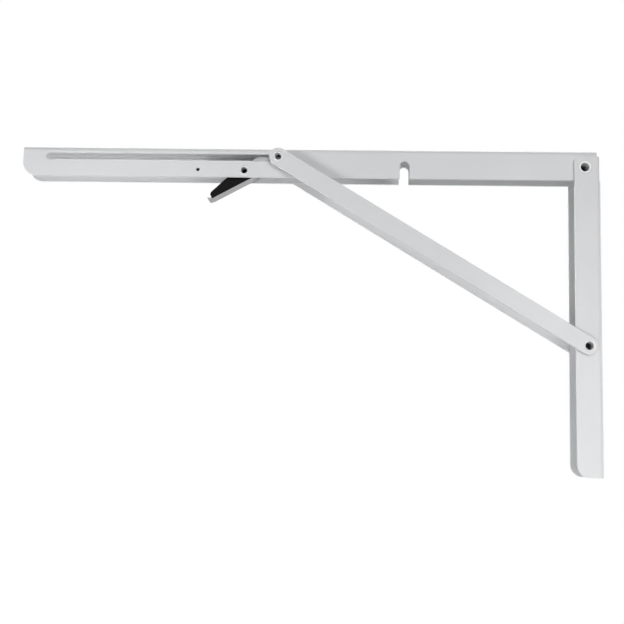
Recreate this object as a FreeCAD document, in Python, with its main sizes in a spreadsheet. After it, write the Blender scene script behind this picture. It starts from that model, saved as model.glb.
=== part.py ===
import FreeCAD, Part
import math
import os
import re
import Sketcher

# Folding bracket for a drop leaf table: a wall rail, a support arm that folds down into it,
# a pair of strut bars whose upper end slides in the arm, and a sprung release lever.
# +Z is up, the arm reaches out along -X, and the wall is the plane X = 0.
# The origin is the middle of the wall screws, on the rail's back face.

os.makedirs("parts", exist_ok=True)
doc = FreeCAD.newDocument("folding_bracket")
sheet = doc.addObject("Spreadsheet::Sheet", "Sizes")

# Driving dimensions, in millimetres and degrees
driving = [
    ("gauge", 2.0, "sheet thickness of both channels"),
    ("bend", 2.8, "outer radius of the channels' bends"),
    ("pivot_to_wall", 10.9, "arm pivot to the wall"),
    ("pivot_height", 105.0, "arm pivot above the middle of the wall screws"),
    ("rail_depth", 18.1, "wall to the front edge of the rail's flanges"),
    ("rail_height", 218.4, "length of the rail"),
    ("rail_top_rise", 7.6, "top of the rail above the arm pivot"),
    ("rail_top_round", 4.0, "rounded upper corner of the rail's flanges"),
    ("rail_relief", 17.0, "height over which the rail's web is cut away at the top"),
    ("relief_step", 1.1, "wall to the back edge of the flanges beside that cut"),
    ("rail_foot_round", 8.6, "rounded lower corner of the rail's flanges"),
    ("rail_clearance", 0.4, "side gap between the arm and the rail"),
    ("arm_width", 20.0, "width of the arm over its flanges"),
    ("arm_rise", 11.8, "top of the arm above its pivot"),
    ("arm_drop", 8.6, "lower edge of the arm below its pivot"),
    ("arm_end", 18.6, "far end of the slide's travel to the free end of the arm"),
    ("arm_end_round", 9.2, "rounded lower corner at the free end"),
    ("slot_height", 5.2, "height of the long slots"),
    ("slot_depth", 6.7, "top of the arm to the middle of the slots"),
    ("notch_width", 6.8, "width of the notches that take the strut rivet"),
    ("notch_depth", 11.5, "top of the arm to the centre of the notch's round end"),
    ("wall_screw_spacing", 150.0, "distance between the wall screws"),
    ("top_screw_inset", 50.0, "arm pivot to the nearest table screw"),
    ("top_screw_end", 39.0, "farthest table screw to the free end of the arm"),
    ("top_screw_step", 80.0, "outer table screws to the inner ones"),
    ("screw_hole", 5.2, "diameter of the screw holes"),
    ("foot_drop", 123.0, "strut pivot below the arm pivot"),
    ("foot_offset", 1.2, "strut pivot nearer to the wall than the arm pivot"),
    ("strut_length", 247.5, "strut bar between its two holes"),
    ("bar_width", 12.4, "width of the strut bars"),
    ("bar_gauge", 2.0, "thickness of the strut bars"),
    ("bar_edge", 0.5, "rounding of the strut bars' edges"),
    ("run_fit", 0.05, "radial clearance of a turning fit"),
    ("seat_fit", 0.02, "radial clearance of a riveted fit"),
    ("face_gap", 0.1, "side clearance of a turning piece"),
    ("corner_shank", 3.5, "radius of the corner rivet"),
    ("corner_head", 5.2, "radius of the corner rivet's head"),
    ("corner_rim", 4.5, "radius of the corner rivet's rolled rim"),
    ("corner_bore", 2.8, "radius of the corner rivet's hollow"),
    ("sleeve_radius", 5.0, "outer radius of the corner sleeve"),
    ("strut_shank", 3.1, "radius of the strut rivet"),
    ("strut_head", 4.6, "radius of the strut rivet's head"),
    ("strut_rim", 3.75, "radius of the strut rivet's rolled rim"),
    ("strut_bore", 2.7, "radius of the strut rivet's hollow"),
    ("rivet_head", 1.4, "height of the rivets' domed heads"),
    ("rivet_hollow", 14.0, "depth of the hollow in the rivets"),
    ("washer_radius", 4.8, "radius of the washers"),
    ("washer_gauge", 0.4, "thickness of the strut washers"),
    ("stud_radius", 2.35, "radius of the slide studs"),
    ("stud_bore", 1.95, "radius of the hollow in the slide studs"),
    ("stud_hollow", 5.0, "depth of the hollow in the slide studs"),
    ("stud_head", 4.1, "radius of the slide studs' inner heads"),
    ("stud_head_gauge", 1.0, "thickness of the slide studs' inner heads"),
    ("end_shank", 2.85, "radius of the end rivets in the bars"),
    ("end_bore", 2.35, "radius of the hollow in the front end rivet"),
    ("end_rim", 3.35, "radius of the front end rivet's rolled rim"),
    ("end_head", 4.2, "radius of the rear end rivet's head"),
    ("lever_set", 23.63, "slide's place at rest to the lever's pivot, along the arm"),
    ("lever_depth", 15.6, "top of the arm to the lever's pivot"),
    ("lever_tilt", 28.6, "angle of the lever below the arm at rest"),
    ("lever_gauge", 1.2, "sheet thickness of the lever"),
    ("lever_width", 11.8, "width of the lever over its ears"),
    ("lever_floor", 6.3, "pivot to the lever's underside"),
    ("lever_tip", 31.6, "pivot to the lever's upturned lip"),
    ("lip_bend", 1.7, "outer radius of the bend at the lip"),
    ("lip_rise", 2.0, "height of the lip over the lever's underside"),
    ("ear_radius", 3.9, "radius of the ears round the pivot"),
    ("ear_foot", 14.0, "pivot to the end of the lever's floor"),
    ("nose_reach", 20.6, "pivot to the end of the nose"),
    ("nose_radius", 4.4, "radius of the nose"),
    ("nose_top", 5.2, "top of the nose above the pivot"),
    ("lever_shank", 2.6, "radius of the lever rivet"),
    ("lever_head", 3.8, "radius of the lever rivet's head"),
    ("lever_rim", 3.3, "radius of the lever rivet's rolled rim"),
    ("lever_bore", 2.2, "radius of the lever rivet's hollow"),
    ("grip_cheek", 0.7, "thickness of the grip's cheeks beside the lever"),
    ("grip_fit", 0.05, "gap between the grip and the lever's edges"),
    ("grip_tip", 28.8, "pivot to the outer end of the grip"),
    ("grip_tip_rise", 3.0, "height of the grip's outer end"),
    ("grip_tip_corner", 1.3, "bevel of the grip's outer end"),
    ("grip_peak", 9.0, "pivot to the highest edge of the grip"),
    ("grip_peak_rise", 9.2, "highest edge of the grip above the lever's underside"),
    ("grip_heel", 2.6, "inner end of the grip's cheeks beyond the pivot"),
    ("grip_block", 6.0, "pivot to the inner end of the grip's block"),
    ("grip_base", 1.5, "thickness of the grip over the lever's floor"),
    ("groove_width", 6.8, "width of the groove that clears the spring"),
    ("post_run", 5.5, "lever pivot to the spring post, along the lever"),
    ("post_rise", 2.8, "spring post above the lever's pivot"),
    ("post_radius", 1.0, "radius of the spring post"),
    ("pin_set", 32.3, "lever's pivot to the spring pin, along the arm"),
    ("pin_depth", 15.3, "top of the arm to the spring pin"),
    ("pin_radius", 1.25, "radius of the spring pin"),
    ("pin_bore", 0.8, "radius of the spring pin's hollow"),
    ("pin_slit", 0.5, "width of the spring pin's slit"),
    ("pin_recess", 1.5, "spring pin's ends inside the arm's faces"),
    ("wire_radius", 0.4, "radius of the spring wire"),
    ("coil_radius", 1.5, "mean radius of the spring's coil"),
    ("hook_radius", 2.3, "mean radius of the spring's end loops"),
    ("coil_turns", 14, "turns of the spring"),
    ("overrun", 1.0, "how far the cutting outlines reach past a face"),
]
for row, (alias, size, meaning) in enumerate(driving, start=1):
    sheet.set(f"A{row}", meaning)
    sheet.set(f"B{row}", str(size))
    sheet.setAlias(f"B{row}", alias)
doc.recompute()

# Sizes that follow from the driving dimensions
following = {
    "inner_bend": "bend - gauge",
    "arm_half": "arm_width / 2",
    "arm_inner": "arm_half - gauge",
    "rail_inner": "arm_half + rail_clearance",
    "rail_half": "rail_inner + gauge",
    "rail_top": "pivot_height + rail_top_rise",
    "rail_foot": "rail_top - rail_height",
    "slot_level": "arm_rise - slot_depth",
    "notch_level": "arm_rise - notch_depth",
    "bar_inner": "rail_half + washer_gauge + face_gap",
    "bar_outer": "bar_inner + bar_gauge",
    "strut_rise": "foot_drop + slot_level",
    "strut_tilt": "asin(strut_rise / strut_length)",
    "slot_near": "sqrt(strut_length ^ 2 - strut_rise ^ 2) - foot_offset",
    "slot_far": "foot_drop + sqrt(strut_length ^ 2 - (slot_level + foot_offset) ^ 2)",
    "arm_reach": "slot_far + arm_end",
    "lever_run": "slot_near + lever_set",
    "lever_level": "arm_rise - lever_depth",
    "lever_half": "lever_width / 2",
    "lever_web": "lever_gauge - lever_floor",
    "ear_root": "ear_radius * sin(45)",
    "grip_half": "lever_half + grip_fit + grip_cheek",
    "pin_run": "lever_run + pin_set",
    "pin_level": "arm_rise - pin_depth",
    "spring_x": "pin_set + post_run * cos(lever_tilt) - post_rise * sin(lever_tilt)",
    "spring_z": "lever_level + post_run * sin(lever_tilt) + post_rise * cos(lever_tilt) - pin_level",
    "hook_inner": "hook_radius - wire_radius - seat_fit",
    "coil_start": "sqrt(hook_radius ^ 2 - coil_radius ^ 2)",
    "pin_hook": "hook_inner - pin_radius",
    "post_hook": "sqrt(spring_x ^ 2 + spring_z ^ 2) - hook_inner + post_radius",
    "coil_length": "post_hook - pin_hook - 2 * coil_start",
}
aliases = [alias for alias, size, meaning in driving]


def bound(text):
    """The text as an expression on the sheet's cells."""
    def swap(match):
        word = match.group(0)
        if word in aliases:
            return "Sizes." + word
        if word in following:
            return "(" + bound(following[word]) + ")"
        return word
    return re.sub(r"[A-Za-z_]\w*", swap, text)


def value(text):
    """The size that an expression has now, in millimetres or degrees."""
    return float(sheet.evalExpression(bound(text)))


def arc(centre_x, centre_y, turn):
    """A round stretch between the points before and after it, turning left or right."""
    return ("arc", centre_x, centre_y, turn)


def tie(sketch, kind, ends, text):
    """Add one dimension to a sketch and bind it to the sheet."""
    index = sketch.addConstraint(Sketcher.Constraint(kind, *ends, value(text)))
    sketch.setExpression(f"Constraints[{index}]", bound(text))


def sketch_on(body, name, plane, outlines=(), circles=()):
    """A sketch on one of the body's own planes. An outline is a list of corners, with arcs
    between them; a circle is its centre and radius."""
    sketch = body.newObject("Sketcher::SketchObject", name)
    planes = {feature.Role: feature for feature in body.Origin.OriginFeatures}
    sketch.AttachmentSupport = (planes[plane], [""])
    sketch.MapMode = "FlatFace"
    for outline in outlines:
        draw_outline(sketch, outline)
    for centre_x, centre_y, radius in circles:
        centre = FreeCAD.Vector(value(centre_x), value(centre_y), 0)
        circle = Part.Circle(centre, FreeCAD.Vector(0, 0, 1), value(radius))
        index = sketch.addGeometry(circle)
        tie(sketch, "DistanceX", (-1, 1, index, 3), centre_x)
        tie(sketch, "DistanceY", (-1, 1, index, 3), centre_y)
        tie(sketch, "Radius", (index,), radius)
    return sketch


def draw_outline(sketch, outline):
    """Draw one closed outline, with every corner held by two dimensions."""
    corners = [step for step in outline if step[0] != "arc"]
    points = [FreeCAD.Vector(value(x), value(y), 0) for x, y in corners]
    rounds = {}
    count = 0
    for step in outline:
        if step[0] == "arc":
            rounds[count - 1] = step
        else:
            count += 1
    ends = []
    for i, start in enumerate(points):
        finish = points[(i + 1) % len(points)]
        if i not in rounds:
            index = sketch.addGeometry(Part.LineSegment(start, finish))
            ends.append((index, 1, 2))
            continue
        centre_x, centre_y, turn = rounds[i][1:]
        centre = FreeCAD.Vector(value(centre_x), value(centre_y), 0)
        first, last = (start, finish) if turn == "left" else (finish, start)
        from_angle = math.atan2(first.y - centre.y, first.x - centre.x)
        to_angle = math.atan2(last.y - centre.y, last.x - centre.x)
        circle = Part.Circle(centre, FreeCAD.Vector(0, 0, 1), start.distanceToPoint(centre))
        index = sketch.addGeometry(Part.ArcOfCircle(circle, from_angle, to_angle))
        ends.append((index, 1, 2) if turn == "left" else (index, 2, 1))
    for i, (index, head, tail) in enumerate(ends):
        following_index, following_head, following_tail = ends[(i + 1) % len(ends)]
        joined = Sketcher.Constraint("Coincident", index, tail, following_index, following_head)
        sketch.addConstraint(joined)
        tie(sketch, "DistanceX", (-1, 1, index, head), corners[i][0])
        tie(sketch, "DistanceY", (-1, 1, index, head), corners[i][1])
    for i, (kind, centre_x, centre_y, turn) in rounds.items():
        chord = points[(i + 1) % len(points)] - points[i]
        if abs(chord.x) >= abs(chord.y):
            tie(sketch, "DistanceY", (-1, 1, ends[i][0], 3), centre_y)
        else:
            tie(sketch, "DistanceX", (-1, 1, ends[i][0], 3), centre_x)


def new_body(label, x="0", y="0", z="0", turn="0"):
    """A sub-part, placed at a point and turned about the line across the bracket."""
    body = doc.addObject("PartDesign::Body", label)
    body.Label = label
    across = FreeCAD.Rotation(FreeCAD.Vector(0, 1, 0), value(turn))
    body.Placement = FreeCAD.Placement(FreeCAD.Vector(value(x), value(y), value(z)), across)
    for axis, text in (("x", x), ("y", y), ("z", z)):
        body.setExpression(f"Placement.Base.{axis}", bound(text))
    if turn != "0":
        body.setExpression("Placement.Rotation.Angle", bound(turn))
    return body


def pad(body, sketch, length, side="Symmetric"):
    feature = body.newObject("PartDesign::Pad", "Pad")
    feature.Profile = sketch
    feature.SideType = side
    feature.setExpression("Length", bound(length))
    doc.recompute()
    return feature


def cut(body, sketch):
    """Cut an outline right through the body, both ways from its sketch."""
    before = body.Shape.Volume
    feature = body.newObject("PartDesign::Pocket", "Pocket")
    feature.Profile = sketch
    feature.SideType = "Symmetric"
    feature.Type = "ThroughAll"
    doc.recompute()
    if not body.Shape.Volume < before:
        raise RuntimeError(f"{sketch.Name} cut nothing from {body.Label}")
    return feature


def revolve(body, sketch):
    feature = body.newObject("PartDesign::Revolution", "Revolution")
    feature.Profile = sketch
    feature.ReferenceAxis = (sketch, ["V_Axis"])
    feature.Angle = 360
    doc.recompute()
    return feature


def round_edges(body, base, wanted, radius):
    """Round those edges of a feature that a test picks."""
    names = [f"Edge{i}" for i, edge in enumerate(base.Shape.Edges, start=1) if wanted(edge)]
    feature = body.newObject("PartDesign::Fillet", "Fillet")
    feature.Base = (base, names)
    feature.setExpression("Radius", bound(radius))
    doc.recompute()
    return feature


def near(a, b):
    return abs(a - b) < 1e-6


# Wall rail: an upright channel, open away from the wall
def wall_rail():
    body = new_body("wall_rail")
    side = sketch_on(body, "RailSide", "XZ_Plane", [[
        ("0", "rail_foot"),
        ("0", "rail_top"),
        ("rail_top_round - rail_depth", "rail_top"),
        arc("rail_top_round - rail_depth", "rail_top - rail_top_round", "left"),
        ("-rail_depth", "rail_top - rail_top_round"),
        ("-rail_depth", "rail_foot + rail_foot_round"),
        arc("rail_foot_round - rail_depth", "rail_foot + rail_foot_round", "left"),
        ("rail_foot_round - rail_depth", "rail_foot"),
    ]])
    block = pad(body, side, "2 * rail_half")

    def at_back_corner(edge):
        box = edge.BoundBox
        return box.ZLength > box.DiagonalLength - 1e-6 and near(box.XMin, 0)
    round_edges(body, block, at_back_corner, "bend")
    channel = sketch_on(body, "RailChannel", "XY_Plane", [[
        ("-rail_depth - overrun", "-rail_inner"),
        ("-gauge - inner_bend", "-rail_inner"),
        arc("-gauge - inner_bend", "inner_bend - rail_inner", "left"),
        ("-gauge", "inner_bend - rail_inner"),
        ("-gauge", "rail_inner - inner_bend"),
        arc("-gauge - inner_bend", "rail_inner - inner_bend", "left"),
        ("-gauge - inner_bend", "rail_inner"),
        ("-rail_depth - overrun", "rail_inner"),
    ]])
    cut(body, channel)
    cut(body, sketch_on(body, "RailWindow", "YZ_Plane", [[
        ("-rail_inner", "rail_top - rail_relief"),
        ("rail_inner", "rail_top - rail_relief"),
        ("rail_inner", "rail_top + overrun"),
        ("-rail_inner", "rail_top + overrun"),
    ]]))
    cut(body, sketch_on(body, "RailStep", "XZ_Plane", [[
        ("-relief_step", "rail_top - rail_relief"),
        ("overrun", "rail_top - rail_relief"),
        ("overrun", "rail_top + overrun"),
        ("-relief_step", "rail_top + overrun"),
    ]]))
    pivots = sketch_on(body, "RailPivots", "XZ_Plane", circles=[
        ("-pivot_to_wall", "pivot_height", "corner_shank + seat_fit"),
        ("foot_offset - pivot_to_wall", "pivot_height - foot_drop", "strut_shank + seat_fit"),
    ])
    cut(body, pivots)
    screws = sketch_on(body, "WallScrews", "YZ_Plane", circles=[
        ("0", "wall_screw_spacing / 2", "screw_hole / 2"),
        ("0", "-wall_screw_spacing / 2", "screw_hole / 2"),
    ])
    cut(body, screws)
    return body


# Support arm: a level channel, open below, measured from its pivot
def support_arm():
    body = new_body("support_arm", x="-pivot_to_wall", z="pivot_height")
    side = sketch_on(body, "ArmSide", "XZ_Plane", [[
        ("0", "-arm_drop"),
        arc("0", "0", "left"),
        ("arm_drop", "0"),
        ("arm_drop", "arm_rise"),
        ("-arm_reach", "arm_rise"),
        ("-arm_reach", "arm_end_round - arm_drop"),
        arc("arm_end_round - arm_reach", "arm_end_round - arm_drop", "left"),
        ("arm_end_round - arm_reach", "-arm_drop"),
    ]])
    block = pad(body, side, "arm_width")

    def at_top_corner(edge):
        box = edge.BoundBox
        return box.XLength > box.DiagonalLength - 1e-6 and near(box.ZMin, value("arm_rise"))
    round_edges(body, block, at_top_corner, "bend")
    channel = sketch_on(body, "ArmChannel", "YZ_Plane", [[
        ("-arm_inner", "-arm_drop - overrun"),
        ("arm_inner", "-arm_drop - overrun"),
        ("arm_inner", "arm_rise - gauge - inner_bend"),
        arc("arm_inner - inner_bend", "arm_rise - gauge - inner_bend", "left"),
        ("arm_inner - inner_bend", "arm_rise - gauge"),
        ("inner_bend - arm_inner", "arm_rise - gauge"),
        arc("inner_bend - arm_inner", "arm_rise - gauge - inner_bend", "left"),
        ("-arm_inner", "arm_rise - gauge - inner_bend"),
    ]])
    cut(body, channel)
    slot = [
        ("-slot_far", "slot_level - slot_height / 2"),
        ("-slot_near", "slot_level - slot_height / 2"),
        arc("-slot_near", "slot_level", "left"),
        ("-slot_near", "slot_level + slot_height / 2"),
        ("-slot_far", "slot_level + slot_height / 2"),
        arc("-slot_far", "slot_level", "left"),
    ]
    notch = [
        ("-foot_drop - notch_width / 2", "-arm_drop - overrun"),
        ("notch_width / 2 - foot_drop", "-arm_drop - overrun"),
        ("notch_width / 2 - foot_drop", "notch_level"),
        arc("-foot_drop", "notch_level", "left"),
        ("-foot_drop - notch_width / 2", "notch_level"),
    ]
    openings = sketch_on(body, "ArmOpenings", "XZ_Plane", [slot, notch], circles=[
        ("0", "0", "corner_shank + run_fit"),
        ("-lever_run", "lever_level", "lever_shank + seat_fit"),
        ("-pin_run", "pin_level", "pin_radius + seat_fit"),
    ])
    cut(body, openings)
    screws = sketch_on(body, "TopScrews", "XY_Plane", circles=[
        ("-top_screw_inset", "0", "screw_hole / 2"),
        ("-top_screw_inset - top_screw_step", "0", "screw_hole / 2"),
        ("top_screw_end + top_screw_step - arm_reach", "0", "screw_hole / 2"),
        ("top_screw_end - arm_reach", "0", "screw_hole / 2"),
    ])
    cut(body, screws)
    return body


# Strut bars: flat bars with round ends, measured from the strut pivot
def strut_bar(label, face):
    body = new_body(label, "foot_offset - pivot_to_wall", face, "pivot_height - foot_drop", "strut_tilt")
    side = sketch_on(body, "BarSide", "XZ_Plane", [[
        ("-strut_length", "-bar_width / 2"),
        ("0", "-bar_width / 2"),
        arc("0", "0", "left"),
        ("0", "bar_width / 2"),
        ("-strut_length", "bar_width / 2"),
        arc("-strut_length", "0", "left"),
    ]])
    blank = pad(body, side, "bar_gauge", "One side")

    def on_a_face(edge):
        return near(edge.BoundBox.YLength, 0)
    round_edges(body, blank, on_a_face, "bar_edge")
    holes = sketch_on(body, "BarHoles", "XZ_Plane", circles=[
        ("0", "0", "strut_shank + run_fit"),
        ("-strut_length", "0", "end_shank + seat_fit"),
    ])
    cut(body, holes)
    return body


# A ring or tube across the bracket, from one face of its sketch or both
def ring(label, x, y, z, outer, bore, length, side="Symmetric"):
    body = new_body(label, x, y, z)
    section = sketch_on(body, "RingSection", "XZ_Plane", circles=[("0", "0", outer), ("0", "0", bore)])
    pad(body, section, length, side)
    return body


# Steps of a turned outline: the domed head and the rolled rim of a rivet
def dome(radius, face):
    rounding = f"({radius} ^ 2 + rivet_head ^ 2) / (2 * rivet_head)"
    return [
        ("0", f"{face} + rivet_head"),
        arc("0", f"{face} + rivet_head - {rounding}", "right"),
        (radius, face),
    ]


def rolled_rim(rim, bore, face):
    return [
        (rim, f"-{face}"),
        arc(f"({rim} + {bore}) / 2", f"-{face}", "right"),
        (bore, f"-{face}"),
    ]


# Semi-tubular rivet: domed head at the rear, hollow end rolled over at the front
def rivet(label, x, z, face, shank, head, rim, bore):
    body = new_body(label, x=x, z=z)
    outline = dome(head, face) + [
        (shank, face),
        (shank, f"-{face}"),
    ] + rolled_rim(rim, bore, face) + [
        (bore, f"rivet_hollow - {face}"),
        ("0", f"rivet_hollow - {face}"),
    ]
    revolve(body, sketch_on(body, "RivetSection", "XY_Plane", [outline]))
    return body


slide_x = "-pivot_to_wall - slot_near"
slide_z = "pivot_height + slot_level"


# Rivet ends at the top of the bars: an open eyelet in front, a domed head at the rear
def end_rivet_front():
    body = new_body("end_rivet_front", x=slide_x, z=slide_z)
    outline = [
        ("end_shank", "-bar_inner"),
        ("end_shank", "-bar_outer"),
    ] + rolled_rim("end_rim", "end_bore", "bar_outer") + [
        ("end_bore", "-bar_inner"),
    ]
    revolve(body, sketch_on(body, "EyeletSection", "XY_Plane", [outline]))
    return body


def end_rivet_rear():
    body = new_body("end_rivet_rear", x=slide_x, z=slide_z)
    outline = dome("end_head", "bar_outer") + [
        ("end_shank", "bar_outer"),
        ("end_shank", "bar_inner"),
        ("0", "bar_inner"),
    ]
    revolve(body, sketch_on(body, "HeadSection", "XY_Plane", [outline]))
    return body


# Slide studs: an inner head, and a hollow shank that reaches through the slot
def slide_stud(label, sign):
    body = new_body(label, x=slide_x, z=slide_z)
    head_face = f"{sign} (arm_inner - face_gap)"
    head_top = f"{sign} (arm_inner - face_gap - stud_head_gauge)"
    outer_end = f"{sign} (bar_inner - 2 * face_gap)"
    hollow_end = f"{sign} (bar_inner - 2 * face_gap - stud_hollow)"
    outline = [
        ("0", head_top),
        ("stud_head", head_top),
        ("stud_head", head_face),
        ("stud_radius", head_face),
        ("stud_radius", outer_end),
        ("stud_bore", outer_end),
        ("stud_bore", hollow_end),
        ("0", hollow_end),
    ]
    revolve(body, sketch_on(body, "StudSection", "XY_Plane", [outline]))
    return body


# Release lever, drawn level and measured from its pivot: ears with a nose, and a floor with a lip
def lever_body(label):
    return new_body(label, "-pivot_to_wall - lever_run", "0", "pivot_height + lever_level", "-lever_tilt")


def release_lever():
    body = lever_body("release_lever")
    ears = sketch_on(body, "EarSide", "XZ_Plane", [[
        ("ear_root", "-lever_floor"),
        ("ear_foot", "-lever_floor"),
        ("nose_reach", "nose_top - nose_radius"),
        arc("nose_reach - nose_radius", "nose_top - nose_radius", "left"),
        ("nose_reach - nose_radius", "nose_top"),
        ("0", "ear_radius"),
        arc("0", "0", "left"),
        ("ear_root", "-ear_root"),
    ]])
    pad(body, ears, "lever_width")
    between = sketch_on(body, "BetweenEars", "YZ_Plane", [[
        ("lever_gauge - lever_half", "-lever_floor - overrun"),
        ("lever_half - lever_gauge", "-lever_floor - overrun"),
        ("lever_half - lever_gauge", "nose_top + overrun"),
        ("lever_gauge - lever_half", "nose_top + overrun"),
    ]])
    cut_between(body, between)
    floor = sketch_on(body, "FloorSide", "XZ_Plane", [[
        ("lip_bend - lever_tip", "-lever_floor"),
        ("ear_foot", "-lever_floor"),
        ("ear_foot", "lever_web"),
        ("lip_bend - lever_tip", "lever_web"),
        arc("lip_bend - lever_tip", "lip_bend - lever_floor", "right"),
        ("lever_gauge - lever_tip", "lip_bend - lever_floor"),
        ("lever_gauge - lever_tip", "lip_rise - lever_floor"),
        ("-lever_tip", "lip_rise - lever_floor"),
        ("-lever_tip", "lip_bend - lever_floor"),
        arc("lip_bend - lever_tip", "lip_bend - lever_floor", "left"),
    ]])
    pad(body, floor, "lever_width")
    holes = sketch_on(body, "EarHoles", "XZ_Plane", circles=[
        ("0", "0", "lever_shank + run_fit"),
        ("post_run", "post_rise", "post_radius + seat_fit"),
    ])
    cut(body, holes)
    return body


def cut_between(body, sketch):
    """Open the block between the ears; they stay in two pieces until the floor joins them."""
    body.AllowCompound = True
    return cut(body, sketch)


# Moulded grip: a block on the lever's floor, with cheeks that cover the lever's edges
def lever_grip():
    body = lever_body("lever_grip")
    side = sketch_on(body, "GripSide", "XZ_Plane", [[
        ("-grip_tip", "-lever_floor"),
        ("grip_heel", "-lever_floor"),
        ("-grip_peak", "grip_peak_rise - lever_floor"),
        ("grip_tip_corner - grip_tip", "grip_tip_rise + grip_tip_corner - lever_floor"),
        ("-grip_tip", "grip_tip_rise - lever_floor"),
    ]])
    pad(body, side, "2 * grip_half")
    recess = [
        ("-lever_half - grip_fit", "-lever_floor - overrun"),
        ("lever_half + grip_fit", "-lever_floor - overrun"),
        ("lever_half + grip_fit", "lever_web"),
        ("-lever_half - grip_fit", "lever_web"),
    ]
    groove = [
        ("-groove_width / 2", "lever_web + grip_base"),
        ("groove_width / 2", "lever_web + grip_base"),
        ("groove_width / 2", "grip_peak_rise + overrun"),
        ("-groove_width / 2", "grip_peak_rise + overrun"),
    ]
    cut(body, sketch_on(body, "GripRecess", "YZ_Plane", [recess, groove]))
    ear_room = sketch_on(body, "EarRoom", "XY_Plane", [[
        ("-grip_block", "-lever_half - grip_fit"),
        ("grip_heel + overrun", "-lever_half - grip_fit"),
        ("grip_heel + overrun", "lever_half + grip_fit"),
        ("-grip_block", "lever_half + grip_fit"),
    ]])
    cut(body, ear_room)
    return body


# Spring post: a cross pin between the lever's ears
def spring_post():
    body = lever_body("spring_post")
    section = sketch_on(body, "PostSection", "XZ_Plane", circles=[("post_run", "post_rise", "post_radius")])
    pad(body, section, "lever_width")
    return body


pin_x = "-pivot_to_wall - pin_run"
pin_z = "pivot_height + pin_level"


# Spring pin: a rolled pin across the arm, open along one side
def spring_pin():
    body = ring("spring_pin", pin_x, "0", pin_z, "pin_radius", "pin_bore", "arm_width - 2 * pin_recess")
    slit = sketch_on(body, "PinSlit", "XZ_Plane", [[
        ("0", "-pin_slit / 2"),
        ("pin_radius + overrun", "-pin_slit / 2"),
        ("pin_radius + overrun", "pin_slit / 2"),
        ("0", "pin_slit / 2"),
    ]])
    cut(body, slit)
    return body


# Latch spring: a wire coil with a loop at each end, from the spring pin to the spring post
def latch_spring():
    body = new_body("latch_spring", pin_x, "0", pin_z, "90 deg - atan2(spring_z; spring_x)")
    wire = sketch_on(body, "CoilWire", "XZ_Plane", circles=[
        ("coil_radius", "pin_hook + coil_start", "wire_radius"),
    ])
    coil = body.newObject("PartDesign::AdditiveHelix", "Coil")
    coil.Profile = wire
    coil.ReferenceAxis = (wire, ["V_Axis"])
    coil.Mode = "height-turns-angle"
    coil.setExpression("Height", bound("coil_length"))
    coil.setExpression("Turns", bound("coil_turns"))
    doc.recompute()
    for name, place in (("PinLoop", "pin_hook"), ("PostLoop", "post_hook")):
        loop = sketch_on(body, name, "XY_Plane", circles=[("-hook_radius", "0", "wire_radius")])
        loop.AttachmentOffset = FreeCAD.Placement(FreeCAD.Vector(0, 0, value(place)), FreeCAD.Rotation())
        loop.setExpression("AttachmentOffset.Base.z", bound(place))
        revolve(body, loop)
    return body


wall_rail()
rivet("corner_rivet", "-pivot_to_wall", "pivot_height", "rail_half",
      "corner_shank", "corner_head", "corner_rim", "corner_bore")
foot_x = "foot_offset - pivot_to_wall"
foot_z = "pivot_height - foot_drop"
rivet("strut_rivet", foot_x, foot_z, "(bar_outer + face_gap)",
      "strut_shank", "strut_head", "strut_rim", "strut_bore")
ring("strut_washer_front", foot_x, "-rail_half", foot_z,
     "washer_radius", "strut_shank + seat_fit", "washer_gauge", "One side")
ring("strut_washer_rear", foot_x, "rail_half + washer_gauge", foot_z,
     "washer_radius", "strut_shank + seat_fit", "washer_gauge", "One side")
support_arm()
ring("corner_sleeve", "-pivot_to_wall", "0", "pivot_height",
     "sleeve_radius", "corner_shank + run_fit", "2 * arm_inner")
rivet("lever_rivet", "-pivot_to_wall - lever_run", "pivot_height + lever_level", "arm_half",
      "lever_shank", "lever_head", "lever_rim", "lever_bore")
spring_pin()
strut_bar("strut_bar_front", "-bar_inner")
strut_bar("strut_bar_rear", "bar_outer")
end_rivet_front()
end_rivet_rear()
slide_stud("slide_stud_front", "-1 *")
slide_stud("slide_stud_rear", "1 *")
slide_washer = "bar_inner - arm_half - 3 * face_gap"
ring("slide_washer_front", slide_x, "-arm_half - face_gap", slide_z,
     "washer_radius", "stud_radius + seat_fit", slide_washer, "One side")
ring("slide_washer_rear", slide_x, "bar_inner - 2 * face_gap", slide_z,
     "washer_radius", "stud_radius + seat_fit", slide_washer, "One side")
release_lever()
lever_grip()
spring_post()
latch_spring()
doc.recompute()

# Check every object and sub-part, then write the sub-parts
for item in doc.Objects:
    if "Invalid" in item.State or "Error" in item.State:
        raise RuntimeError(f"{item.Label} failed: {item.State}")
sub_parts = [item for item in doc.Objects if item.TypeId == "PartDesign::Body"]
for body in sub_parts:
    if body.Shape.isNull() or not body.Shape.isValid():
        raise RuntimeError(f"{body.Label} has no valid shape")
for body in sub_parts:
    body.Shape.exportStep(f"parts/{body.Label}.step")
    print(body.Label, len(body.Shape.Solids), round(body.Shape.Volume, 2))
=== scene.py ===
import math

import bmesh
import bpy
from mathutils import Matrix, Vector


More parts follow.
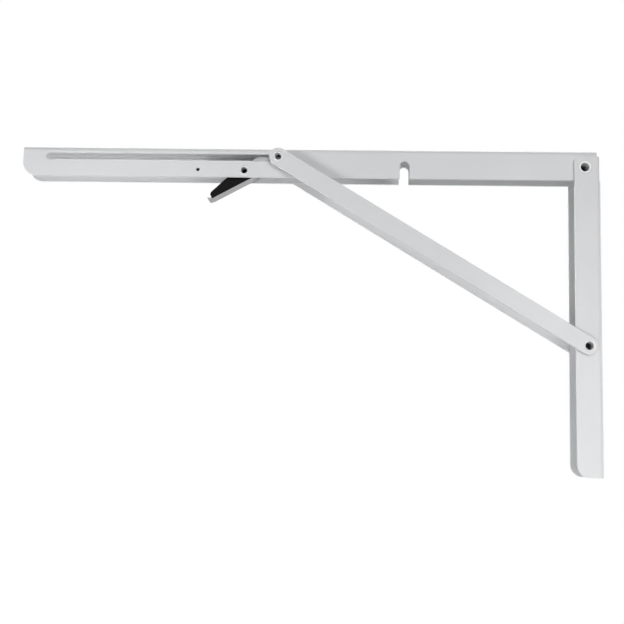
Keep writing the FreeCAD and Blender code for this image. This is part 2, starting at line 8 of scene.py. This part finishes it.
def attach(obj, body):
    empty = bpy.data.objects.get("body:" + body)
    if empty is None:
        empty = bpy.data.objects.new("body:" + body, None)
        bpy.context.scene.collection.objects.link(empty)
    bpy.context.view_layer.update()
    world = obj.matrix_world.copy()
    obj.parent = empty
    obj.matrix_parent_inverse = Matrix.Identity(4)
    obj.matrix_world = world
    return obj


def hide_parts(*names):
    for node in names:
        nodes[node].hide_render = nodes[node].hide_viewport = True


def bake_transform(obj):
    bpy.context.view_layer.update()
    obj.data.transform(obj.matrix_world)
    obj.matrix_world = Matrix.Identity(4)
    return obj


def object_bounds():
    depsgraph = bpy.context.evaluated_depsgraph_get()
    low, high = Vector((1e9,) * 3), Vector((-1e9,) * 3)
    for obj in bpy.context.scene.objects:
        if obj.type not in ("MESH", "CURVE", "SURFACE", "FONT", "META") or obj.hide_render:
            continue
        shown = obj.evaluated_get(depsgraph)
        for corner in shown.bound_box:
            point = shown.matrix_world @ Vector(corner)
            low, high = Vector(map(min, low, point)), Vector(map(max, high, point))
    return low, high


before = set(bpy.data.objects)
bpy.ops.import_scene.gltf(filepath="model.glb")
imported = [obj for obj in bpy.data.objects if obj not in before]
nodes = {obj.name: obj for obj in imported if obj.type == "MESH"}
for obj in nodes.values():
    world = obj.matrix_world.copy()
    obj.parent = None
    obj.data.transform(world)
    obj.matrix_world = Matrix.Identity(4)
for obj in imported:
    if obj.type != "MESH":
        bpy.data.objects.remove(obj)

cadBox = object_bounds()
scene = bpy.context.scene
scene.view_settings.view_transform = "Standard"
mm = 0.001  # scene units are metres


def toLinear(hexColour):
    levels = [int(hexColour[i:i + 2], 16) / 255 for i in (1, 3, 5)]
    linear = [v / 12.92 if v <= 0.04045 else ((v + 0.055) / 1.055) ** 2.4 for v in levels]
    return (*linear, 1.0)


def addNode(tree, kind, settings, links=None):
    node = tree.nodes.new(kind)
    for key, value in settings.items():
        if isinstance(key, int) or key in node.inputs:
            node.inputs[key].default_value = value
        else:
            setattr(node, key, value)
    for socket, source in (links or {}).items():
        tree.links.new(source, node.inputs[socket])
    return node


def newMaterial(name):
    material = bpy.data.materials.new(name)
    material.use_nodes = True
    tree = material.node_tree
    tree.nodes.clear()
    return material, tree


mixA, mixB, mixOut = 6, 7, 2  # the Mix node's colour sockets
white = (1, 1, 1, 1)
octaves = {"cloud": 3.0, "peel": 1.5, "grain": 2.0}  # detail of each kind of noise
edgeWear = {"samples": 6, "turn": (0.97, 0.75)}  # cosine of the turn where wear starts and is full
hollowSamples = 24  # rays that feel how open a spot is


def wornEdges(tree, reach, most):
    # how far the surface turns within reach of an edge: 0 on flats, most on the edge
    rounded = addNode(tree, "ShaderNodeBevel", {"samples": edgeWear["samples"], "Radius": reach})
    facing = addNode(tree, "ShaderNodeNewGeometry", {})
    turn = addNode(tree, "ShaderNodeVectorMath", {"operation": "DOT_PRODUCT"},
                   {0: rounded.outputs["Normal"], 1: facing.outputs["True Normal"]})
    start, full = edgeWear["turn"]
    worn = addNode(tree, "ShaderNodeMapRange",
                   {"From Min": start, "From Max": full, "To Min": 0.0, "To Max": most},
                   {"Value": turn.outputs["Value"]})
    return worn.outputs["Result"]


def finishSurface(tree, shine, colour, gloss, rough, relief, strength, height):
    # what all finishes share: uneven gloss, a fine relief and the shader
    roughness = addNode(tree, "ShaderNodeMapRange", {"To Min": rough[0], "To Max": rough[1]},
                        {"Value": gloss})
    bump = addNode(tree, "ShaderNodeBump", {"Strength": strength, "Distance": height}, {"Height": relief})
    skin = addNode(tree, "ShaderNodeBsdfPrincipled", shine,
                   {"Base Color": colour, "Roughness": roughness.outputs["Result"],
                    "Normal": bump.outputs["Normal"]})
    addNode(tree, "ShaderNodeOutputMaterial", {}, {"Surface": skin.outputs["BSDF"]})


def powderCoatedSteel():
    # polyester powder baked on folded sheet: satin white, a faint orange peel, thin over cut edges
    powder = {
        "white": "#E4E5E6",
        "shade": "#DEDFE1",  # slow drift of the film's thickness
        "edge": "#C9CCD0",  # grey of the steel through thin powder
        "edgeShare": 0.55,
        "edgeReach": 0.5 * mm,
        "cloud": 45 * mm,
        "peel": 1.7 * mm,  # really about 0.5 mm, drawn coarser so that it shows
        "peelHeight": 0.012 * mm,
        "peelStrength": 0.6,
        "rough": (0.36, 0.46),
        "ior": 1.5,
    }
    material, tree = newMaterial("powder-coated steel, white")
    place = addNode(tree, "ShaderNodeTexCoord", {}).outputs["Object"]
    cloud = addNode(tree, "ShaderNodeTexNoise", {"Scale": 1 / powder["cloud"], "Detail": octaves["cloud"]},
                    {"Vector": place})
    peel = addNode(tree, "ShaderNodeTexNoise", {"Scale": 1 / powder["peel"], "Detail": octaves["peel"]},
                   {"Vector": place})
    film = addNode(tree, "ShaderNodeMix",
                   {"data_type": "RGBA", mixA: toLinear(powder["white"]), mixB: toLinear(powder["shade"])},
                   {"Factor": cloud.outputs["Fac"]})
    colour = addNode(tree, "ShaderNodeMix", {"data_type": "RGBA", mixB: toLinear(powder["edge"])},
                     {"Factor": wornEdges(tree, powder["edgeReach"], powder["edgeShare"]),
                      mixA: film.outputs[mixOut]})
    finishSurface(tree, {"IOR": powder["ior"]}, colour.outputs[mixOut], cloud.outputs["Fac"], powder["rough"],
                  peel.outputs["Fac"], powder["peelStrength"], powder["peelHeight"])
    return material


def platedSteel(name, plate):
    # electroplated steel: a soft metal grey with cloudy shine, and painted shade: a dark colour mixed in down
    # in holes and recesses
    material, tree = newMaterial(name)
    place = addNode(tree, "ShaderNodeTexCoord", {}).outputs["Object"]
    cloud = addNode(tree, "ShaderNodeTexNoise", {"Scale": 1 / plate["cloud"], "Detail": octaves["cloud"]},
                    {"Vector": place})
    grain = addNode(tree, "ShaderNodeTexNoise", {"Scale": 1 / plate["grain"], "Detail": octaves["grain"]},
                    {"Vector": place})
    film = addNode(tree, "ShaderNodeMix",
                   {"data_type": "RGBA", mixA: toLinear(plate["bright"]), mixB: toLinear(plate["dull"])},
                   {"Factor": cloud.outputs["Fac"]})
    # painted shade: ambient occlusion darkens the colour where little is open around a spot, standing in for
    # the shade that falls there
    clear = addNode(tree, "ShaderNodeAmbientOcclusion",
                    {"samples": hollowSamples, "Distance": plate["depth"]})
    closed, opened = plate["holes"]
    reach = addNode(tree, "ShaderNodeMapRange", {"From Min": closed, "From Max": opened},
                    {"Value": clear.outputs["AO"]})
    colour = addNode(tree, "ShaderNodeMix", {"data_type": "RGBA", mixA: toLinear(plate["hollowShade"])},
                     {"Factor": reach.outputs["Result"], mixB: film.outputs[mixOut]})
    finishSurface(tree, {"Metallic": plate["metal"]}, colour.outputs[mixOut], cloud.outputs["Fac"],
                  plate["rough"], grain.outputs["Fac"], plate["grainStrength"], plate["grainHeight"])
    return material


def mouldedNylon():
    # glass-filled nylon from an eroded mould: near black, a fine matt grain, corners rubbed a little paler
    grip = {
        "black": "#0D0D0E",
        "rubbed": "#242425",
        "rubbedShare": 0.5,
        "edgeReach": 0.5 * mm,
        "grain": 0.9 * mm,  # really about 0.2 mm, drawn coarser so that it shows
        "grainHeight": 0.02 * mm,
        "grainStrength": 0.5,
        "rough": (0.40, 0.55),
        "ior": 1.53,
        "sheen": 0.08,  # the grain scatters most of the shine
    }
    material, tree = newMaterial("moulded nylon, black")
    place = addNode(tree, "ShaderNodeTexCoord", {}).outputs["Object"]
    grain = addNode(tree, "ShaderNodeTexNoise", {"Scale": 1 / grip["grain"], "Detail": octaves["grain"]},
                    {"Vector": place})
    colour = addNode(tree, "ShaderNodeMix",
                     {"data_type": "RGBA", mixA: toLinear(grip["black"]), mixB: toLinear(grip["rubbed"])},
                     {"Factor": wornEdges(tree, grip["edgeReach"], grip["rubbedShare"])})
    finishSurface(tree, {"IOR": grip["ior"], "Specular IOR Level": grip["sheen"]}, colour.outputs[mixOut],
                  grain.outputs["Fac"], grip["rough"],
                  grain.outputs["Fac"], grip["grainStrength"], grip["grainHeight"])
    return material


coatedWhite = powderCoatedSteel()
zincLook = {
    "bright": "#C2C2C3",
    "dull": "#AEAEAD",  # clouded zinc
    # painted shade in holes and recesses
    "hollowShade": "#75726F",
    "cloud": 4 * mm,
    "grain": 0.5 * mm,
    "grainHeight": 0.01 * mm,
    "grainStrength": 0.5,
    "depth": 30 * mm,
    "holes": (0.05, 0.09),  # openness over which the painted shade gives way to the plating's colour
    "rough": (0.36, 0.50),
    "metal": 1.0,
}
zincPlate = platedSteel("zinc-plated steel", zincLook)
# rivets: rims nearly as pale as the coat, since powder settles on them and just inside their hollows; further
# in, where bare steel would show, painted shade darkens the hollows almost to black
rivetLook = {
    **zincLook,
    "bright": "#E2E2E2",
    "dull": "#D6D6D6",
    # painted shade: near black deep in the hollows
    "hollowShade": "#1C1B1B",
    "holes": (0.042, 0.055),
    "metal": 0.4,  # how much of the zinc shows through the dust
}
zincRivet = platedSteel("zinc-plated steel, dusted with powder", rivetLook)
zincStud = platedSteel("zinc-plated steel, blind hollow", {**rivetLook, "holes": (0.09, 0.12)})
leverSteel = platedSteel("rolled strip, zinc-plated", {
    **zincLook,
    "bright": "#A7A6A8",
    "dull": "#959496",
    # painted shade in holes and recesses
    "hollowShade": "#2B2A2A",
    "cloud": 6 * mm,
    "grain": 0.6 * mm,
    "holes": (0.045, 0.12),
})
wireLook = {
    **zincLook,
    "bright": "#9C9DA0",
    "dull": "#7E7D7B",
    # painted shade in holes and recesses
    "hollowShade": "#2B2A2A",
    "cloud": 2 * mm,
    "grain": 0.4 * mm,
    "grainHeight": 0.008 * mm,
    "depth": 10 * mm,
    "holes": (0.03, 0.15),
    "rough": (0.30, 0.44),
}
drawnWire = platedSteel("drawn spring steel", wireLook)
blackedSteel = platedSteel("phosphated spring steel", {
    **wireLook,
    "bright": "#4E4D4D",  # dark grey of a phosphated roll pin
    "dull": "#424141",
    "rough": (0.45, 0.60),
})
nylonBlack = mouldedNylon()
print("materials made")

flat = math.radians(1.0)  # facets of one flat face
crease = math.radians(40.0)  # what counts as a cut edge
joinReach = 0.001 * mm
flatWeight = 90  # keeps flats flat beside rounded edges


def dress(piece, material):
    piece.data.materials.clear()
    piece.data.materials.append(material)


def standIn(name, mesh, material):
    piece = bpy.data.objects.new(name + ".soft", mesh)
    scene.collection.objects.link(piece)
    dress(piece, material)
    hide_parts(name)
    return piece


def joinedForm(name):
    # the solid's own mesh in one skin, without the empty faces that meshing leaves at the tops of domes
    form = bmesh.new()
    form.from_mesh(nodes[name].data)
    bmesh.ops.remove_doubles(form, verts=form.verts, dist=joinReach)
    bmesh.ops.dissolve_degenerate(form, edges=form.edges, dist=joinReach)
    return form


def turned(name, material):
    # the solid's own form, smooth but for its cut edges
    form = joinedForm(name)
    mesh = bpy.data.meshes.new(name + ".soft")
    form.to_mesh(mesh)
    form.free()
    mesh.shade_smooth()
    mesh.set_sharp_from_angle(angle=crease)
    return standIn(name, mesh, material)


def softEdged(name, body, material, edge, rounds):
    # the solid's mesh with its cut edges rounded, in the solid's place
    form = joinedForm(name)
    bmesh.ops.dissolve_limit(form, angle_limit=flat, verts=form.verts, edges=form.edges)
    cutEdges = [e for e in form.edges if e.is_manifold and e.calc_face_angle() > crease]
    bmesh.ops.bevel(form, geom=cutEdges, offset=edge, segments=rounds, profile=0.5,
                    affect="EDGES", clamp_overlap=True)
    mesh = bpy.data.meshes.new(name + ".soft")
    form.to_mesh(mesh)
    form.free()
    mesh.shade_smooth()
    piece = standIn(name, mesh, material)
    normals = piece.modifiers.new("shading", "WEIGHTED_NORMAL")
    normals.weight = flatWeight
    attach(piece, body)
    return piece


# Folded sheet: cut edges softened by the powder film; the bars are rounded in the solid
sheetEdge = {"width": 0.22 * mm, "rounds": 2}
softEdged("wall_rail", "wall", coatedWhite, sheetEdge["width"], sheetEdge["rounds"])
softEdged("support_arm", "arm", coatedWhite, sheetEdge["width"], sheetEdge["rounds"])
for name in ("strut_bar_front", "strut_bar_rear"):
    dress(nodes[name], coatedWhite)

# Rivets and pins keep the solid's turned form
rivets = {
    "corner_rivet": "wall",
    "strut_rivet": "wall",
    "lever_rivet": "arm",
    "end_rivet_front": "strut",
    "end_rivet_rear": "strut",
}
for name, body in rivets.items():
    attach(turned(name, zincRivet), body)
pins = {"corner_sleeve": zincPlate, "spring_post": zincPlate, "spring_pin": blackedSteel}
for name, material in pins.items():
    dress(nodes[name], material)

# Studs and washers: turned edges broken with a file
turnedEdge = {"width": 0.12 * mm, "rounds": 2}
for name in ("slide_stud_front", "slide_stud_rear"):
    softEdged(name, "slide", zincStud, turnedEdge["width"], turnedEdge["rounds"])
for name in ("slide_washer_front", "slide_washer_rear"):
    softEdged(name, "slide", zincPlate, turnedEdge["width"], turnedEdge["rounds"])
for name in ("strut_washer_front", "strut_washer_rear"):
    softEdged(name, "wall", zincPlate, turnedEdge["width"], turnedEdge["rounds"])

# Lever: stamped steel with a moulded grip
leverEdge = {"steel": 0.15 * mm, "grip": 0.3 * mm, "rounds": 2}
softEdged("release_lever", "lever", leverSteel, leverEdge["steel"], leverEdge["rounds"])
softEdged("lever_grip", "lever", nylonBlack, leverEdge["grip"], leverEdge["rounds"])


# Spring: the solid's own form in drawn wire, its placement baked into the mesh
latchSpring = turned("latch_spring", drawnWire)
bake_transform(latchSpring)
print("pieces finished")

# Camera: the photograph's viewpoint, a little below the arm
view = {
    "eye": (-0.17060, -0.77566, -0.08783),
    "right": (0.999349, 0.031405, 0.017751),
    "forward": (-0.033278, 0.992513, 0.117522),
    "lens": 65.27,
    "sensor": 36.0,
    "nearest": 10 * mm,
}
camera = bpy.data.objects.new("camera", bpy.data.cameras.new("camera"))
scene.collection.objects.link(camera)
right, forward = Vector(view["right"]).normalized(), Vector(view["forward"]).normalized()
upward = right.cross(forward).normalized()
axes = Matrix((right, upward, -forward)).transposed().to_4x4()
camera.matrix_world = Matrix.Translation(view["eye"]) @ axes
camera.data.lens = view["lens"]
camera.data.sensor_width = view["sensor"]
camera.data.clip_start = view["nearest"]
scene.camera = camera
print("camera set")

# Studio: white surroundings, a pale floor well below the bracket and soft boxes
studio = {
    "floorDrop": 0.45,
    "floorSize": 8.0,  # wide, because a near edge shows as grain in the gloss of the bars
    "floorWhite": "#CFCFCF",
    "floorGlow": 0.75,  # share of white that the eye sees, the rest is lit and takes the shadow
    "floorGain": 1.292,  # makes up for the lit share
    "ambient": 0.2,
}


def whiteToEye(tree):
    # what the camera, metal and glass see: 1 for those rays, 0 for the light that falls on the object
    path = addNode(tree, "ShaderNodeLightPath", {})
    seen = addNode(tree, "ShaderNodeMath", {"operation": "MAXIMUM"},
                   {0: path.outputs["Is Camera Ray"], 1: path.outputs["Is Glossy Ray"]})
    seen = addNode(tree, "ShaderNodeMath", {"operation": "MAXIMUM"},
                   {0: seen.outputs["Value"], 1: path.outputs["Is Transmission Ray"]})
    return seen.outputs["Value"]


world = bpy.data.worlds.new("studio")
world.use_nodes = True
scene.world = world
sky = world.node_tree
sky.nodes.clear()
level = addNode(sky, "ShaderNodeMapRange", {"To Min": studio["ambient"], "To Max": 1.0},
                {"Value": whiteToEye(sky)})
glow = addNode(sky, "ShaderNodeBackground", {"Color": white}, {"Strength": level.outputs["Result"]})
addNode(sky, "ShaderNodeOutputWorld", {}, {"Surface": glow.outputs["Background"]})

half = studio["floorSize"] / 2
floorLevel = cadBox[0].z - studio["floorDrop"]
floorMesh = bpy.data.meshes.new("floor")
floorCorners = [(x, y, floorLevel) for x, y in ((-half, -half), (half, -half), (half, half), (-half, half))]
floorMesh.from_pydata(floorCorners, [], [(0, 1, 2, 3)])
floor = bpy.data.objects.new("floor", floorMesh)
scene.collection.objects.link(floor)
floorPaint, floorTree = newMaterial("matt white board")
board = addNode(floorTree, "ShaderNodeBsdfDiffuse", {"Color": toLinear(studio["floorWhite"])})
shine = addNode(floorTree, "ShaderNodeEmission", {"Color": white, "Strength": studio["floorGain"]})
share = addNode(floorTree, "ShaderNodeMath", {"operation": "MULTIPLY", 1: studio["floorGlow"]},
                {0: whiteToEye(floorTree)})
blend = addNode(floorTree, "ShaderNodeMixShader", {},
                {0: share.outputs["Value"], 1: board.outputs["BSDF"], 2: shine.outputs["Emission"]})
addNode(floorTree, "ShaderNodeOutputMaterial", {}, {"Surface": blend.outputs["Shader"]})
floorMesh.materials.append(floorPaint)

# at and aim in metres, spread in degrees
softBoxes = {
    "front box": {"at": (0.19, -1.12, 0.44), "aim": (-0.1, 0, 0), "size": 0.6, "watts": 5.25, "spread": 180.0},
    "left box": {"at": (-0.5, -0.3, -0.22), "aim": (-0.32, 0, 0.1), "size": 0.2, "watts": 0.29, "spread": 80.0},
    "foot box": {"at": (0.1, -0.5, -0.15), "aim": (0, 0, -0.1), "size": 0.15, "watts": 0.027, "spread": 50.0},
    "rail box": {"at": (-0.2, -0.4, -0.2), "aim": (0, 0, -0.09), "size": 0.15, "watts": 0.053, "spread": 50.0},
    "top box": {"at": (-0.2, 0.35, 1.0), "aim": (-0.2, 0, 0.1), "size": 0.8, "watts": 4.0, "spread": 180.0},
    "rear box": {"at": (-0.2, 1.6, 0.6), "aim": (-0.2, 0, 0), "size": 1.2, "watts": 12.0, "spread": 180.0},
    "wall box": {"at": (1.4, 0.6, 0.3), "aim": (-0.1, 0, 0), "size": 1.0, "watts": 9.0, "spread": 180.0},
}
for name, lamp in softBoxes.items():
    data = bpy.data.lights.new(name, "AREA")
    data.size = lamp["size"]
    data.energy = lamp["watts"]
    data.spread = math.radians(lamp["spread"])
    box = bpy.data.objects.new(name, data)
    scene.collection.objects.link(box)
    box.location = lamp["at"]
    box.rotation_euler = (Vector(lamp["aim"]) - Vector(lamp["at"])).to_track_quat("-Z", "Y").to_euler()
    box.visible_camera = False
print("studio lit")
